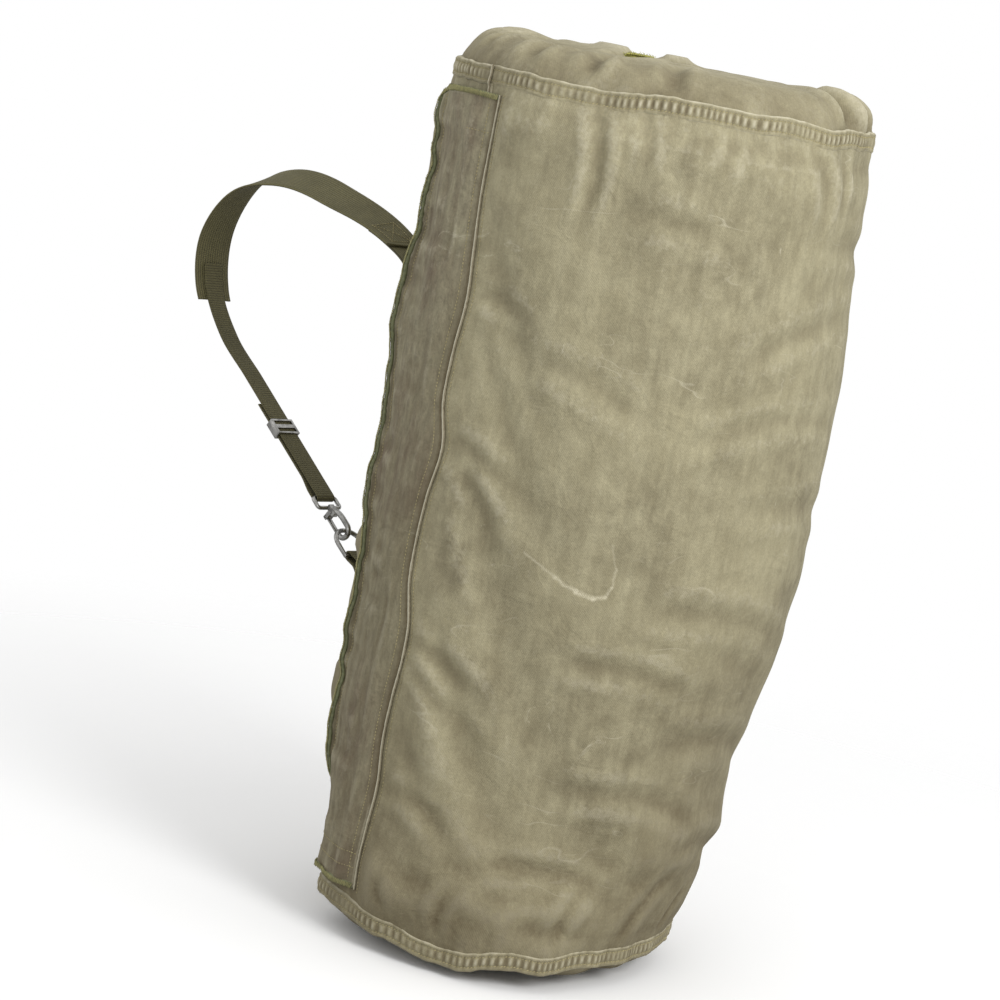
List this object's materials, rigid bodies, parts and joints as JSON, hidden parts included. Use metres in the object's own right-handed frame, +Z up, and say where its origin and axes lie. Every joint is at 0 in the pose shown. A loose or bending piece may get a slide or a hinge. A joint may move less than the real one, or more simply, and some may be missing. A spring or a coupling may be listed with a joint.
{
  "type": "duffel bag",
  "caption": "Large cylindrical canvas duffel with a long side zip under a storm flap, end panels and a clip-on shoulder strap.",
  "frame": {"origin": "middle of the flat bottom, on the tube's axis", "axes": "+Z up the bag's length; the shoulder strap reaches towards -X; the storm flap's seam is near -Y"},
  "size_m": [0.7356, 0.4364, 0.9123],
  "materials": {
    "canvas": "washed olive-drab cotton canvas, faded and scuffed",
    "flap_canvas": "washed olive-drab cotton canvas, a little browner",
    "seam_canvas": "folded and double-stitched canvas, paler on its puckers",
    "piping": "worn cream canvas edge",
    "edge_thread": "grey-green overlocking thread, frayed",
    "webbing": "olive-brown cotton webbing",
    "zip_tape": "olive herringbone zip tape",
    "zip_metal": "dull brass",
    "steel": "satin nickel-plated steel"
  },
  "bodies": {
    "bag": {"main_panel": "canvas", "bottom_panel": "canvas", "top_panel": "canvas", "bottom_seam_band": "seam_canvas", "top_seam_band": "seam_canvas", "closing_seam": "seam_canvas", "top_tab": "edge_thread", "flap_piping": "piping", "zip_tape_left": "zip_tape", "zip_tape_right": "zip_tape", "zip_teeth_left": "zip_metal", "zip_teeth_right": "zip_metal", "zip_top_stop": "zip_metal", "zip_bottom_stop": "zip_metal", "strap_patch": "canvas", "strap_anchor_web": "webbing", "shoulder_strap": "webbing", "adjusting_webbing": "webbing", "d_ring_chape": "webbing", "d_ring_patch": "canvas"},
    "flap": {"flap_panel": "flap_canvas", "flap_edge_binding": "edge_thread"},
    "slider": {"zip_slider": "zip_metal"},
    "pull": {"zip_pull": "zip_metal"},
    "adjuster": {"strap_adjuster": "steel"},
    "hook": {"snap_hook": "steel", "gate_pin": "steel"},
    "gate": {"hook_gate": "steel"},
    "ring": {"d_ring": "steel"}
  },
  "joints": [
    {"name": "flap_lift", "type": "hinge", "parent": "bag", "child": "flap", "pos_m": [-0.0266, -0.21667, 0.449], "axis": [0, 0, 1], "range_deg": [0, 150]},
    {"name": "zip_slide", "type": "slide", "parent": "bag", "child": "slider", "axis": [0, 0, -1], "range_m": [0, 0.735]},
    {"name": "pull_swing", "type": "hinge", "parent": "slider", "child": "pull", "pos_m": [-0.08115, -0.20084, 0.8174], "axis": [-0.9272, 0.3746, 0], "range_deg": [0, 9]},
    {"name": "adjuster_slide", "type": "slide", "parent": "bag", "child": "adjuster", "axis": [-0.8191, 0, 0.5736], "range_m": [-0.045, 0.022]},
    {"name": "hook_swing", "type": "hinge", "parent": "bag", "child": "hook", "pos_m": [-0.28383, -0.09806, 0.38877], "axis": [0, 1, 0], "range_deg": [-9, 9]},
    {"name": "gate_open", "type": "hinge", "parent": "hook", "child": "gate", "pos_m": [-0.27169, -0.09806, 0.37124], "axis": [0, -1, 0], "range_deg": [0, 24], "stiffness_Nm_per_rad": 0.05, "springref_deg": -28.65},
    {"name": "ring_swing", "type": "hinge", "parent": "bag", "child": "ring", "pos_m": [-0.21846, -0.09806, 0.343], "axis": [0, 1, 0], "range_deg": [-12, 12]}
  ],
  "couplings": [
    {"joint": "ring_swing", "follows": "hook_swing", "ratio": -1.313}
  ]
}
